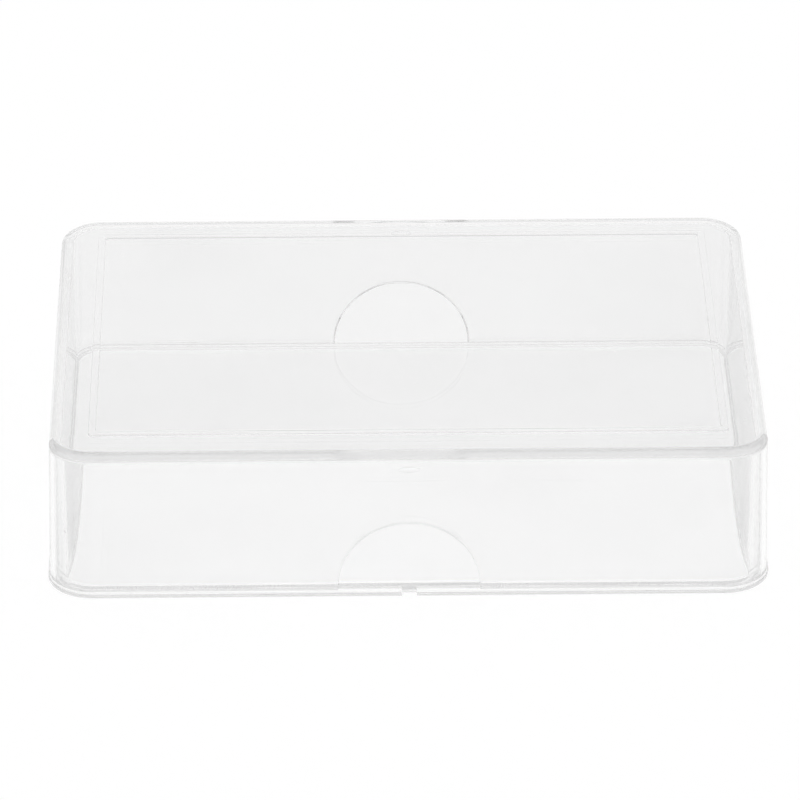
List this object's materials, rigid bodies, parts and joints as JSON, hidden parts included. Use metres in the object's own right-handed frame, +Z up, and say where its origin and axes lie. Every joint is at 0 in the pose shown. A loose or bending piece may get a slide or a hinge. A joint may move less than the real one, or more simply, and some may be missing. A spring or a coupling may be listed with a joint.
{
  "type": "card deck box",
  "caption": "Clear slip-lid box for a deck of playing cards: open tray with a flanged foot, and a slip-over lid with half-round thumb notches and a raised frame on top.",
  "frame": {"origin": "middle of the underside, on the surface that the closed box stands on", "axes": "+X along the long side, +Y from the front long wall to the back one, +Z up through the lid"},
  "size_m": [0.0962, 0.0708, 0.0216],
  "materials": {
    "tray_plastic": "clear polystyrene, polished",
    "lid_plastic": "clear polystyrene, polished"
  },
  "bodies": {
    "tray": {"tray": "tray_plastic"},
    "lid": {"lid": "lid_plastic"}
  },
  "joints": [
    {"name": "lid_lift", "type": "slide", "parent": "tray", "child": "lid", "axis": [0, 0, 1], "range_m": [0, 0.04]}
  ]
}
